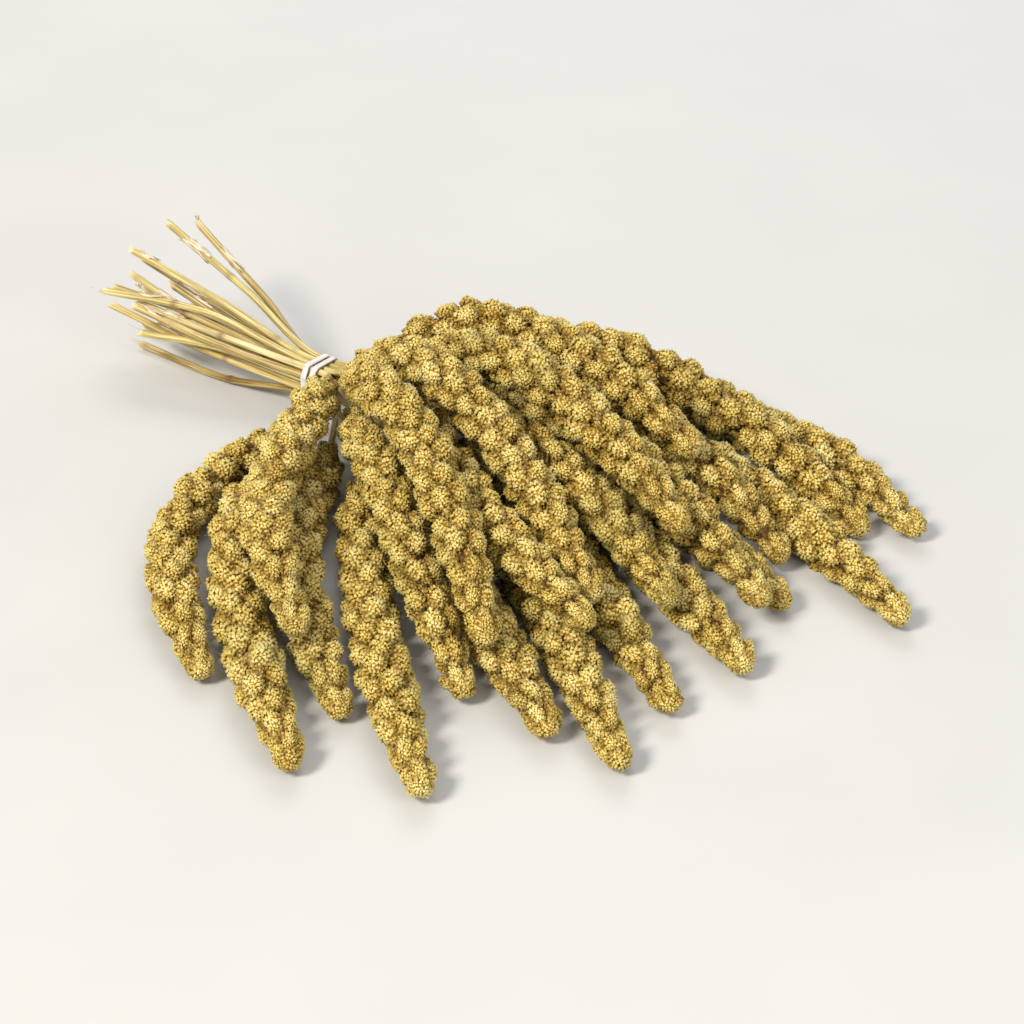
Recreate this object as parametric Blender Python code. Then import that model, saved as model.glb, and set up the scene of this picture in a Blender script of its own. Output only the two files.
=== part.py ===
"""A tied bunch of foxtail millet sprays, lying on a surface with its heads fanned out.

Each spray is one lobed seed head on its own straw stem. The stems are packed side by side inside
an elastic band that is wound twice round them. The heads lie in three tiers, and settle on each
other and on the surface as they do when the bunch is put down.

Metres, +Z up. The stems run along X, with their cut ends towards -X and the heads towards +X.
The origin is the middle of the bunch's box, at the surface it lies on.
"""

import math
import random
from dataclasses import dataclass

import bmesh
import bpy
import numpy as np
from mathutils import Matrix, Vector

MM = 0.001
SEED = 14

# Stems: straws packed side by side in rows where the band holds them
STEM_RADIUS = 1.7 * MM
STEM_PITCH = 3.7 * MM
STEM_ROWS = (4, 5, 4, 5, 4)
STEM_END_SHARE = 0.82
STEM_STEP = 11 * MM
BUNDLE_HEIGHT = 17 * MM

# Tails: the stems behind the band, which spread as straight straws do
TAIL_LENGTH = 98 * MM
TAIL_VARIATION = 17 * MM
TAIL_SPLAY = 22.0
TAIL_SPLAY_START = 8 * MM
TAIL_TWIST = math.radians(240)
TAIL_LIFT = 0.115
TAIL_POINTS = 2
TAIL_STRAY = 6.5 * MM
TAIL_LOOSE = 2
TAIL_LOOSE_STRAY = (17 * MM, 8 * MM)
TAIL_SWEEPS = 400

# Band: a flat elastic band wound twice, side by side, which crosses itself once
BAND_WIDTH = 2.6 * MM
BAND_THICKNESS = 0.9 * MM
BAND_SEGMENTS = 52
BAND_OFFSET = 1.6 * MM
BAND_EDGE = 3.4 * MM
BAND_CROSSING = math.radians(215)
BAND_CROSSING_HALF = 0.45
BAND_LIFT_HALF = 0.5

# Heads: a lobed surface, with every second ring of points on the crowns of a whorl of lobes
HEAD_RADIUS = (10.9 * MM, 12.2 * MM)
LOBES_ROUND = 5
WHORL_PITCH = 13.2 * MM
VALLEY = 0.70
SADDLE = 0.80
CROWN_VARIATION = 0.08
LOBE_WANDER = math.radians(7)
HEAD_BASE_RADIUS = 2.3 * MM
BASE_SHARE = 0.45
BASE_TAPER = 0.16
TIP_SHARE = 0.58
TIP_TAPER = 0.28
TIP_CAP_SHARE = 0.4

# Fan: which way the heads point, measured from +X towards +Y in degrees
FAN_TURN = -33.0
FAN_JITTER = 2.0
START_JITTER = 4 * MM
LENGTH_SHARE = (0.92, 1.10)

# Settling
LINKS = 30
SETTLE_STEPS = 500
POLISH_STEPS = 200
FALL = 0.55 * MM
GATHER = 0.0009
PRESS = 1.3 * MM
GAP = 0.3 * MM
SETTLE_GAP = 0.6 * MM
SEARCH_MARGIN = 6 * MM
BEND_REACHES = (1, 2)
BEND_STIFFNESS = 0.45
LATE_STIFFNESS = 0.06

HEAD_COLOUR = (0.40, 0.27, 0.075, 1.0)
STRAW_COLOUR = (0.62, 0.52, 0.25, 1.0)
BAND_COLOUR = (0.78, 0.74, 0.72, 1.0)


@dataclass(frozen=True)
class Tier:
    """A layer of sprays that lie side by side. half_spread is in degrees."""

    count: int
    start: float
    stagger: float
    half_spread: float
    length: float
    height: float


TIERS = (
    Tier(9, 78 * MM, 16 * MM, 48.0, 212 * MM, 13 * MM),
    Tier(8, 44 * MM, 16 * MM, 46.0, 210 * MM, 42 * MM),
    Tier(5, 28 * MM, 10 * MM, 36.0, 200 * MM, 70 * MM),
)


@dataclass(frozen=True)
class Spray:
    """One seed head on its stem. start is the stem's length from the band to the head."""

    number: int
    slot: tuple
    start: float
    length: float
    turn: float
    height: float
    radius: float


def smooth(t):
    """0 below 0, 1 above 1, and an S curve between."""
    t = np.clip(t, 0.0, 1.0)
    return t * t * (3.0 - 2.0 * t)


def clear_scene():
    """Removes every object, so that the script starts from nothing."""
    for obj in list(bpy.data.objects):
        bpy.data.objects.remove(obj)


def make_material(name, colour, roughness):
    """A plain Principled material."""
    material = bpy.data.materials.new(name)
    material.use_nodes = True
    shader = material.node_tree.nodes["Principled BSDF"]
    shader.inputs["Base Color"].default_value = colour
    shader.inputs["Roughness"].default_value = roughness
    shader.inputs["Metallic"].default_value = 0.0
    material.diffuse_color = colour
    return material


def stem_slots():
    """Places (y, z) of the stems in the band's plane, from the bundle's middle, lowest row first."""
    slots = []
    for row, count in enumerate(STEM_ROWS):
        z = (row - (len(STEM_ROWS) - 1) / 2) * STEM_PITCH * math.sqrt(3) / 2
        slots += [((k - (count - 1) / 2) * STEM_PITCH, z) for k in range(count)]
    return slots


def plan_sprays(rng):
    """The sprays of each tier. Low stems carry low heads, and a tier's stems keep the fan's order."""
    slots = stem_slots()
    sprays = []
    for tier in TIERS:
        own = sorted(slots[: tier.count])
        slots = slots[tier.count :]
        for place, slot in enumerate(own):
            across = 2 * place / (tier.count - 1) - 1
            stagger = tier.stagger * (place % 2)
            turn = FAN_TURN + tier.half_spread * across + rng.uniform(-FAN_JITTER, FAN_JITTER)
            spray = Spray(
                number=len(sprays) + 1,
                slot=slot,
                start=tier.start + stagger + rng.uniform(-START_JITTER, START_JITTER),
                length=tier.length * rng.uniform(*LENGTH_SHARE),
                turn=math.radians(turn),
                height=tier.height,
                radius=rng.uniform(*HEAD_RADIUS),
            )
            sprays.append(spray)
    return sprays


def head_radius(share, radius):
    """Radius of a head at a share of its length: narrow at the stem, full, then narrower again."""
    base = BASE_SHARE + (1 - BASE_SHARE) * smooth(share / BASE_TAPER)
    tip = 1 - (1 - TIP_SHARE) * smooth((share - 1 + TIP_TAPER) / TIP_TAPER)
    return radius * base * tip


def hanging_lines(sprays):
    """Each spray's line before it settles, from the band to the tip, with its radius at each point."""
    shape = (len(sprays), LINKS + 1)
    lines, radii = np.zeros((*shape, 3)), np.zeros(shape)
    for i, spray in enumerate(sprays):
        arc = np.linspace(0.0, spray.start + spray.length, LINKS + 1)
        turn = spray.turn * smooth(arc / (spray.start + 0.55 * spray.length))
        steps = np.stack([np.cos(turn), np.sin(turn)], axis=1) * arc[1]
        y, z = spray.slot
        lines[i, :, 1] = y
        lines[i, 1:, :2] += np.cumsum((steps[:-1] + steps[1:]) / 2, axis=0)
        low = BUNDLE_HEIGHT + z
        lines[i, :, 2] = low + (spray.height - low) * smooth(arc / (0.9 * spray.start))
        reach = arc + arc[1] / 2 - spray.start
        share = np.clip(reach / spray.length, 0, 1)
        radii[i] = np.where(reach < 0, STEM_RADIUS, head_radius(share, spray.radius))
    return lines, radii


def near_pairs(lines, radii):
    """Pairs of links of different sprays that are near enough to touch soon."""
    starts, ends = lines[:, :-1].reshape(-1, 3), lines[:, 1:].reshape(-1, 3)
    middles = (starts + ends) / 2
    reach = np.maximum(radii[:, :-1], radii[:, 1:]).reshape(-1)
    reach = reach + np.linalg.norm(ends - starts, axis=1) / 2
    owner = np.repeat(np.arange(len(lines)), lines.shape[1] - 1)
    a, b = np.triu_indices(len(middles), 1)
    other = owner[a] != owner[b]
    a, b = a[other], b[other]
    near = np.linalg.norm(middles[a] - middles[b], axis=1) < reach[a] + reach[b] + SEARCH_MARGIN
    return a[near], b[near]


def closest(lines, a, b):
    """Where links a and b come closest: the share along each, and the vector from b to a."""
    starts, ends = lines[:, :-1].reshape(-1, 3), lines[:, 1:].reshape(-1, 3)
    along_a, along_b = ends[a] - starts[a], ends[b] - starts[b]
    apart = starts[a] - starts[b]
    aa, bb = (along_a**2).sum(1), (along_b**2).sum(1)
    ab = (along_a * along_b).sum(1)
    ar, br = (along_a * apart).sum(1), (along_b * apart).sum(1)
    spread = aa * bb - ab * ab
    crossing = np.clip((ab * br - ar * bb) / np.maximum(spread, 1e-18), 0, 1)
    share_a = np.where(spread > 1e-9 * aa * bb, crossing, 0.5)
    share_b = np.clip((ab * share_a + br) / bb, 0, 1)
    share_a = np.clip((ab * share_b - ar) / aa, 0, 1)
    return share_a, share_b, apart + along_a * share_a[:, None] - along_b * share_b[:, None]


def push_apart(lines, radii, a, b):
    """Moves links that touch away from each other, each by about half."""
    points = np.arange(lines.shape[0] * lines.shape[1]).reshape(lines.shape[:2])
    first, second = points[:, :-1].reshape(-1), points[:, 1:].reshape(-1)
    flat_radii = radii.reshape(-1)
    share_a, share_b, vector = closest(lines, a, b)
    distance = np.linalg.norm(vector, axis=1)
    radius_a = flat_radii[first[a]] * (1 - share_a) + flat_radii[second[a]] * share_a
    radius_b = flat_radii[first[b]] * (1 - share_b) + flat_radii[second[b]] * share_b
    depth = radius_a + radius_b + SETTLE_GAP - distance
    hit = depth > 0
    a, b, share_a, share_b = a[hit], b[hit], share_a[hit], share_b[hit]
    push = vector[hit] * (0.45 * depth[hit] / np.maximum(distance[hit], 1e-9))[:, None]
    moves, weights = np.zeros((points.size, 3)), np.zeros(points.size)
    ends = (
        (first[a], 1 - share_a, 1),
        (second[a], share_a, 1),
        (first[b], 1 - share_b, -1),
        (second[b], share_b, -1),
    )
    for point, share, side in ends:
        np.add.at(moves, point, side * push * share[:, None])
        np.add.at(weights, point, share)
    lines += (moves / np.maximum(weights, 1.0)[:, None]).reshape(lines.shape)


def curvature(lines, reach):
    """How far each point lies from the middle of the two points that are a reach away on each side."""
    return lines[:, 2 * reach :] - 2 * lines[:, reach:-reach] + lines[:, : -2 * reach]


def bend_back(lines, rests, stiffness):
    """Bends each line towards the curve that it had, as a springy straw does."""
    for reach, rest in rests.items():
        bend = stiffness * (curvature(lines, reach) - rest)
        lines[:, reach:-reach] += bend / 4
        lines[:, 2 * reach :] -= bend / 8
        lines[:, : -2 * reach] -= bend / 8


def keep_lengths(lines, link):
    """Brings each link back to its length, working outwards from the band."""
    for k in range(1, LINKS):
        step = lines[:, k + 1] - lines[:, k]
        length = np.linalg.norm(step, axis=1)
        excess = step * ((length - link) / length)[:, None]
        lines[:, k + 1] -= 0.8 * excess
        if k > 1:
            lines[:, k] += 0.2 * excess


def settle(lines, radii):
    """Lets the sprays down on the surface and on each other, with their stems held in the band.

    They are gathered towards the middle of the fan meanwhile, so that the heads lie close.
    """
    link = np.linalg.norm(lines[:, 2, :2] - lines[:, 1, :2], axis=1)
    held = lines[:, :2].copy()
    held[:, 1] = held[:, 0] + np.array([1.0, 0.0, 0.0]) * link[:, None]
    rests = {reach: curvature(lines * (1.0, 1.0, 0.0), reach) for reach in BEND_REACHES}
    middle_turn = math.radians(FAN_TURN)
    sideways = np.array([-math.sin(middle_turn), math.cos(middle_turn)])
    for step in range(SETTLE_STEPS + POLISH_STEPS):
        stiffness = BEND_STIFFNESS if step < SETTLE_STEPS else LATE_STIFFNESS
        strength = max(0.0, 1 - step / (0.8 * SETTLE_STEPS))
        lines[:, 2:, 2] -= FALL * strength
        beside = lines[:, 2:, :2] @ sideways
        lines[:, 2:, :2] -= GATHER * strength * beside[:, :, None] * sideways
        if step % 8 == 0:
            a, b = near_pairs(lines, radii)
        for _ in range(2):
            bend_back(lines, rests, stiffness)
            keep_lengths(lines, link)
            push_apart(lines, radii, a, b)
            lines[:, :, 2] = np.maximum(lines[:, :, 2], radii)
            lines[:, :2] = held
    lines[:, :, 2] -= PRESS
    return lines


class Line:
    """A smooth line through equally spaced points, read by its length from the band."""

    def __init__(self, points, length):
        """points are the settled points, length is the whole line's."""
        before, after = 2 * points[0] - points[1], 2 * points[-1] - points[-2]
        self.points = np.vstack([before, points, after])
        self.link = length / (len(points) - 1)

    def at(self, arc):
        """Position and direction at a length along the line."""
        k = min(max(int(arc / self.link), 0), len(self.points) - 4)
        t = arc / self.link - k
        p0, p1, p2, p3 = self.points[k : k + 4]
        square, cube = 2 * p0 - 5 * p1 + 4 * p2 - p3, 3 * p1 - p0 - 3 * p2 + p3
        position = p1 + ((p2 - p0) * t + square * t**2 + cube * t**3) / 2
        direction = (p2 - p0) + 2 * square * t + 3 * cube * t**2
        return Vector(position), Vector(direction).normalized()


def add_object(name, data, material, collection):
    """An object for a piece's data, with its material, in the bunch's collection."""
    data.materials.append(material)
    obj = bpy.data.objects.new(name, data)
    collection.objects.link(obj)
    return obj


def tail_point(slot, back):
    """Where a stem is at a distance behind the band: the stems spread, turn and rise together."""
    beyond = max(0.0, back - BAND_EDGE)
    reach = math.hypot(beyond, TAIL_SPLAY_START) - TAIL_SPLAY_START
    turned = Matrix.Rotation(TAIL_TWIST * beyond, 2) @ Vector(slot) * (1 + TAIL_SPLAY * reach)
    return Vector((-back, turned.x, BUNDLE_HEIGHT - PRESS + TAIL_LIFT * beyond + turned.y))


def tail_lines(sprays, tails, rng):
    """Each stem's places from the band's edge to its cut end.

    The straws stray from an even spread, as far as the thickness of the others lets them. A few on
    the far side are loose and stand off further.
    """
    shares = np.linspace(0, 1, TAIL_POINTS + 1)
    lines = np.array(
        [
            [tail_point(spray.slot, BAND_EDGE + (tail - BAND_EDGE) * share) for share in shares]
            for spray, tail in zip(sprays, tails)
        ]
    )
    stray = np.array([[0, rng.gauss(0, TAIL_STRAY), rng.gauss(0, TAIL_STRAY)] for _ in sprays])
    stray[np.argsort(lines[:, -1, 1] + lines[:, -1, 2])[-TAIL_LOOSE:], 1:] += TAIL_LOOSE_STRAY
    lines += stray[:, None] * shares[:, None]
    radii = np.full(lines.shape[:2], STEM_RADIUS)
    held = lines.copy()
    for _ in range(TAIL_SWEEPS):
        push_apart(lines, radii, *near_pairs(lines, radii))
        lines[:, :, 0], lines[:, 0] = held[:, :, 0], held[:, 0]
        lines[:, :, 2] = np.maximum(lines[:, :, 2], STEM_RADIUS + GAP)
    return [[Vector(place) for place in reversed(line)] for line in lines]


def add_stem(spray, line, tail, material, collection):
    """A straw from its cut end, through the band, to just short of its head."""
    end = spray.start - GAP
    ahead = max(3, round(end / STEM_STEP))
    points = [*tail, tail_point(spray.slot, -BAND_EDGE)]
    points += [line.at(end * k / ahead)[0] for k in range(1, ahead + 1)]
    curve = bpy.data.curves.new(f"stem_{spray.number:02d}", "CURVE")
    curve.dimensions = "3D"
    curve.bevel_depth = STEM_RADIUS
    curve.bevel_resolution = 1
    curve.use_fill_caps = True
    spline = curve.splines.new("POLY")
    spline.points.add(len(points) - 1)
    for k, (point, place) in enumerate(zip(spline.points, points)):
        point.co = (*place, 1.0)
        point.radius = 1 - (1 - STEM_END_SHARE) * k / (len(points) - 1)
    return add_object(curve.name, curve, material, collection)


def straight_tube(sides, rings):
    """A capped tube of radius 1 along Z from 0 to 1, with evenly spaced rings of points."""
    tube = bmesh.new()
    middle = Matrix.Translation((0, 0, 0.5))
    bmesh.ops.create_cone(
        tube, cap_ends=True, segments=sides, radius1=1, radius2=1, depth=1, matrix=middle
    )
    long_edges = [e for e in tube.edges if abs(e.verts[0].co.z - e.verts[1].co.z) > 0.5]
    bmesh.ops.subdivide_edges(tube, edges=long_edges, cuts=rings - 2, use_grid_fill=True)
    return tube


def ring_frames(line, arcs):
    """Position and two cross directions at each arc, carried along the line without twisting."""
    frames = []
    across = Vector((0, 0, 1))
    for arc in arcs:
        position, direction = line.at(arc)
        across = (across - across.dot(direction) * direction).normalized()
        frames.append((position, across, direction.cross(across)))
    return frames


def lobe_radius(spray, ring, rings, column, rng):
    """Radius of a point of the head's grid: on a crown, on a saddle beside it, or in a valley."""
    if ring == 0:
        return HEAD_BASE_RADIUS
    radius = float(head_radius(ring / (rings - 1), spray.radius))
    whorl, between = divmod(ring - 1, 2)
    if ring == rings - 1:
        return radius * TIP_CAP_SHARE
    if between:
        return radius * VALLEY
    if (column + whorl) % 2:
        return radius * SADDLE
    return radius * (1 - rng.uniform(0, CROWN_VARIATION))


def add_head(spray, line, rng, material, collection):
    """A seed head: whorls of lobes, staggered from one whorl to the next, pressed flat underneath."""
    sides = 2 * LOBES_ROUND
    rings = 2 * round(spray.length / WHORL_PITCH) + 1
    frames = ring_frames(line, [spray.start + spray.length * k / (rings - 1) for k in range(rings)])
    phase = rng.uniform(0, math.tau)
    head = straight_tube(sides, rings)
    for vert in head.verts:
        ring = round(vert.co.z * (rings - 1))
        column = round(math.atan2(vert.co.x, vert.co.y) / math.tau * sides) % sides
        radius = lobe_radius(spray, ring, rings, column, rng)
        angle = phase - math.tau * column / sides + rng.uniform(-LOBE_WANDER, LOBE_WANDER)
        middle, across, beside = frames[ring]
        vert.co = middle + radius * (math.cos(angle) * across + math.sin(angle) * beside)
    bmesh.ops.triangulate(head, faces=head.faces, quad_method="SHORT_EDGE")
    press_flat(head)
    mesh = bpy.data.meshes.new(f"head_{spray.number:02d}")
    head.to_mesh(mesh)
    head.free()
    mesh.shade_smooth()
    return add_object(mesh.name, mesh, material, collection)


def press_flat(head):
    """Cuts off what lies under the surface, which leaves small flat spots on the lowest lobes."""
    geometry = head.verts[:] + head.edges[:] + head.faces[:]
    bmesh.ops.bisect_plane(
        head, geom=geometry, dist=0.03 * MM, use_snap_center=True,
        plane_co=(0, 0, 0), plane_no=(0, 0, 1), clear_inner=True,
    )
    open_edges = [e for e in head.edges if e.is_boundary]
    filled = bmesh.ops.holes_fill(head, edges=open_edges, sides=0)["faces"]
    bmesh.ops.triangulate(head, faces=filled)
    bmesh.ops.recalc_face_normals(head, faces=head.faces)


def band_place(turn):
    """How far the band is to one side, from -1 to 1, and lifted, from 0 to 1, after a turn of it.

    The band goes round twice before it closes. It changes sides at the same place each time, so
    the second change is lifted over the first.
    """
    wrapped = (turn + math.tau) % (2 * math.tau) - math.tau
    past = min(abs(wrapped), math.tau - abs(wrapped))
    side = 2 * float(smooth((past / BAND_CROSSING_HALF + 1) / 2)) - 1
    beyond = math.tau - abs(wrapped) - BAND_CROSSING_HALF
    lift = 1 - float(smooth(beyond / BAND_LIFT_HALF))
    return math.copysign(side, wrapped), lift


def bundle_outline(angle, offset):
    """Point of the stems' common outline, set out by an offset, that faces an angle in the YZ plane."""
    facing = Vector((math.cos(angle), math.sin(angle)))
    outermost = max((Vector(slot) for slot in stem_slots()), key=facing.dot)
    return outermost + facing * (STEM_RADIUS + offset)


def add_band(material, collection):
    """The elastic band: a torus drawn out into two turns round the stems, with a flat section."""
    bpy.ops.mesh.primitive_torus_add(
        major_segments=BAND_SEGMENTS, minor_segments=4, major_radius=1.0, minor_radius=0.25
    )
    torus = bpy.context.object
    mesh = torus.data
    for vert in mesh.vertices:
        turn = 2 * math.atan2(vert.co.y, vert.co.x)
        corner = math.atan2(vert.co.z, math.hypot(vert.co.x, vert.co.y) - 1) + math.pi / 4
        side, lift = band_place(turn)
        inside = GAP + BAND_THICKNESS / 2 + lift * (GAP + BAND_THICKNESS)
        outward = inside + math.copysign(BAND_THICKNESS / 2, math.cos(corner))
        x = side * BAND_OFFSET + math.copysign(BAND_WIDTH / 2, math.sin(corner))
        y, z = bundle_outline(turn + BAND_CROSSING, outward)
        vert.co = (x, y, z + BUNDLE_HEIGHT - PRESS)
    outwards = bmesh.new()
    outwards.from_mesh(mesh)
    bmesh.ops.triangulate(outwards, faces=outwards.faces)
    bmesh.ops.recalc_face_normals(outwards, faces=outwards.faces)
    outwards.to_mesh(mesh)
    outwards.free()
    bpy.data.objects.remove(torus)
    return add_object("tie", mesh, material, collection)


def centre(objects):
    """Moves the pieces together so that the middle of their box is over the origin."""
    graph = bpy.context.evaluated_depsgraph_get()
    corners = []
    for obj in objects:
        mesh = obj.evaluated_get(graph).to_mesh()
        places = np.array([vert.co for vert in mesh.vertices])
        corners += [places.min(axis=0), places.max(axis=0)]
    middle = (np.min(corners, axis=0) + np.max(corners, axis=0)) / 2
    for obj in objects:
        obj.data.transform(Matrix.Translation((-middle[0], -middle[1], 0)))


def main():
    """Builds the bunch."""
    clear_scene()
    collection = bpy.data.collections.new("foxtail_millet_bunch")
    bpy.context.scene.collection.children.link(collection)
    grain = make_material("seed_head", HEAD_COLOUR, 0.75)
    straw = make_material("straw_stem", STRAW_COLOUR, 0.55)
    elastic = make_material("band", BAND_COLOUR, 0.5)
    rng = random.Random(SEED)
    sprays = plan_sprays(rng)
    hanging, radii = hanging_lines(sprays)
    settled = settle(hanging, radii)
    objects = [add_band(elastic, collection)]
    lines = [Line(points, s.start + s.length) for s, points in zip(sprays, settled)]
    tails = []
    for spray, line in zip(sprays, lines):
        tails.append(TAIL_LENGTH + rng.uniform(-TAIL_VARIATION, TAIL_VARIATION))
        objects.append(add_head(spray, line, rng, grain, collection))
    for spray, line, tail in zip(sprays, lines, tail_lines(sprays, tails, rng)):
        objects.append(add_stem(spray, line, tail, straw, collection))
    centre(objects)


main()
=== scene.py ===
"""Dresses the tied bunch of foxtail millet: clusters of single grains, straws and an elastic band.

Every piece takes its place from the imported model. A seed head is grown on the crowns of its
solid, a straw follows the middle of its tube, and the band is wound inside the box of its own
solid. Metres, +Z up, and the bunch lies on the floor at z = 0.
"""

import logging
from collections.abc import Iterable, Sequence
from dataclasses import dataclass, field
from enum import Enum
from math import atan2, copysign, cos, exp, hypot, pi, radians, sin, sqrt, tau
from random import Random
from typing import Any

import bmesh
import bpy
from bmesh.types import BMEdge, BMesh, BMVert
from bpy.types import Material, Mesh, NodeSocket, NodeTree, Object
from mathutils import Matrix, Vector


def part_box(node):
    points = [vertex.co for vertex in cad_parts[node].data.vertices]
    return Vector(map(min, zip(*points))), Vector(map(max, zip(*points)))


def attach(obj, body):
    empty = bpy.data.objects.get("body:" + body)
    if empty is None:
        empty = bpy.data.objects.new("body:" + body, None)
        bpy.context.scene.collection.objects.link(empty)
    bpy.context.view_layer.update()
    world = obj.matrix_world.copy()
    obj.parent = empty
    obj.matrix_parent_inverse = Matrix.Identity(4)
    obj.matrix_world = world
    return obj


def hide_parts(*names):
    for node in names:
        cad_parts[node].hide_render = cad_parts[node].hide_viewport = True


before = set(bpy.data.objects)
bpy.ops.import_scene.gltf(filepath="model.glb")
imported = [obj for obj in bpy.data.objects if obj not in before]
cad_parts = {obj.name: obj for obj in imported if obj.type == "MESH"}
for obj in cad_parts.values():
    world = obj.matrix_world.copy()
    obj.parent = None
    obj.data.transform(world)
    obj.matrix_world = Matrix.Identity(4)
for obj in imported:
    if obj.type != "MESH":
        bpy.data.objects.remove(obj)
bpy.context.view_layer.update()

MM = 0.001
WELD = 0.01 * MM
BODY = "root"
Colour = tuple[float, float, float, float]
Paint = tuple[NodeSocket, NodeSocket | None]
Rings = list[list[Vector]]
Stops = Sequence[tuple[float, str]]

log = logging.getLogger("millet")


def linear(hex_colour: str) -> Colour:
    """Turns an sRGB hex colour into the linear colour that a shader takes.

    Args:
        hex_colour: Six hex digits after a hash sign.

    Returns:
        Linear red, green and blue, and an alpha of 1.
    """
    shares = [int(hex_colour[k : k + 2], 16) / 255 for k in (1, 3, 5)]
    bent = [s / 12.92 if s <= 0.04045 else ((s + 0.055) / 1.055) ** 2.4 for s in shares]
    return (*bent, 1.0)


def add_node(
    tree: NodeTree,
    kind: str,
    inputs: dict[Any, Any] | None = None,
    output: int | str = 0,
    stops: Stops = (),
    **settings: Any,
) -> NodeSocket:
    """Adds a node with its settings, its values and its links.

    Args:
        tree: The material's node tree.
        kind: Blender's name for the node, without the word in front that all of them share.
        inputs: A value, or a socket to link from, for each input by name or number.
        output: The output that is wanted, by name or number.
        stops: Positions and hex colours, for a node with a colour ramp.
        **settings: The node's own settings.

    Returns:
        That output of the new node.
    """
    node = tree.nodes.new(f"ShaderNode{kind}")
    for name, value in settings.items():
        setattr(node, name, value)
    for key, value in (inputs or {}).items():
        if isinstance(value, NodeSocket):
            tree.links.new(value, node.inputs[key])
        else:
            node.inputs[key].default_value = value
    for k, (position, colour) in enumerate(stops):
        ramp = node.color_ramp.elements
        stop = ramp[k] if k < 2 else ramp.new(position)
        stop.position, stop.color = position, linear(colour)
    return node.outputs[output]


@dataclass(frozen=True)
class Finish:
    """A dry natural or moulded finish, coloured by noise and by the piece's attributes."""

    name: str
    roughness: float

    def values(self) -> dict[str, Any]:
        """What the shader's own sockets hold, the same all over the surface."""
        return {"Roughness": self.roughness}

    def paint(self, tree: NodeTree) -> Paint:
        """Adds the finish's own nodes, and returns its colour and its relief, if it has one."""
        raise NotImplementedError

    def material(self) -> Material:
        """Builds the material."""
        material = bpy.data.materials.new(self.name)
        material.use_nodes = True
        tree = material.node_tree
        shader = tree.nodes["Principled BSDF"]
        for name, value in self.values().items():
            shader.inputs[name].default_value = value
        for name, socket in zip(("Base Color", "Normal"), self.paint(tree)):
            if socket is not None:
                tree.links.new(socket, shader.inputs[name])
        return material


@dataclass(frozen=True)
class Mottled(Finish):
    """A finish that noise of one size runs through its colours, and roughens if it has a relief.

    The noise follows the piece's place, or its skin where it is stretched along that.
    """

    size: float
    stops: Stops
    detail: float = 3.0
    stretch: float = 0.0
    strength: float = 0.0
    height: float = 0.0

    def paint(self, tree: NodeTree) -> Paint:
        """Adds the noise, the colours and the relief."""
        if self.stretch:
            skin = add_node(tree, "Attribute", output="Vector", attribute_name="skin")
            place = add_node(tree, "Mapping", {"Vector": skin, "Scale": (1.0, 1.0, self.stretch)})
        else:
            place = add_node(tree, "TexCoord", output="Object")
        pattern = {"Vector": place, "Scale": 1 / self.size, "Detail": self.detail}
        noise = add_node(tree, "TexNoise", pattern)
        colour = add_node(tree, "ValToRGB", {0: noise}, stops=self.stops)
        relief = {"Height": noise, "Strength": self.strength, "Distance": self.height}
        return colour, add_node(tree, "Bump", relief) if self.strength else None


@dataclass(frozen=True)
class MilletHusk(Finish):
    """Dry husks of foxtail millet grains: hard, slightly waxy shells that catch small highlights.

    Each grain has its own tint from brown through ochre to cream, and whole patches turn a
    little green, as where a head ripened late. Grains low in a cluster get a painted shade of
    darker brown.
    """

    name: str = "millet_husk"
    roughness: float = 0.62
    gloss: float = 0.35
    patch: float = 45 * MM
    speck: float = 0.9 * MM
    mottle: float = 0.3

    def values(self) -> dict[str, Any]:
        """The shader's values, with the faint gloss of the husk's wax."""
        return super().values() | {"Specular IOR Level": self.gloss}

    def paint(self, tree: NodeTree) -> Paint:
        """Tints each grain, greens some patches and paints brown shade deep in a cluster."""
        tint, depth = (
            add_node(tree, "Attribute", output="Fac", attribute_name=name)
            for name in ("tint", "depth")
        )
        place = add_node(tree, "TexCoord", output="Object")
        speck, patch = (
            add_node(tree, "TexNoise", {"Vector": place, "Scale": 1 / size, "Detail": detail})
            for size, detail in ((self.speck, 2.0), (self.patch, 1.0))
        )
        mottled = add_node(
            tree, "Math", {0: speck, 1: self.mottle, 2: tint}, operation="MULTIPLY_ADD"
        )
        ripe = add_node(tree, "Math", {0: mottled, 1: self.mottle / 2}, operation="SUBTRACT")
        colour = add_node(
            tree,
            "ValToRGB",
            {0: ripe},
            stops=(
                (0.0, "#7d5e18"),
                (1.0, "#f1eac4"),
                (0.22, "#b09036"),
                (0.5, "#d2b962"),
                (0.78, "#e4d48e"),
            ),
        )
        for level, low, high, first, last, over in (
            (patch, 0.58, 0.74, 0.0, 0.35, "#989250"),
            # painted shade: darker brown where depth is low, at a cluster's foot and in its gaps
            (depth, 0.34, 0.8, 0.86, 0.0, "#745410"),
        ):
            share = add_node(tree, "MapRange", {0: level, 1: low, 2: high, 3: first, 4: last})
            layer = {0: share, 6: colour, 7: linear(over)}
            colour = add_node(tree, "Mix", layer, 2, data_type="RGBA")
        relief = {"Height": speck, "Strength": 0.2, "Distance": 0.2 * MM}
        return colour, add_node(tree, "Bump", relief)


@dataclass(frozen=True)
class SpikeBract(Mottled):
    """Inner stalks and chaff between the clusters: matt, fibrous, brown darkened as painted shade.
    """

    name: str = "spike_chaff_painted_shade"
    roughness: float = 0.9
    size: float = 1.6 * MM
    # Near-black brown: the chaff's own colour darkened as painted shade in the crevices
    stops: Stops = ((0.35, "#1f1403"), (0.65, "#6b4a10"))
    strength: float = 0.8
    height: float = 0.6 * MM


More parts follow.
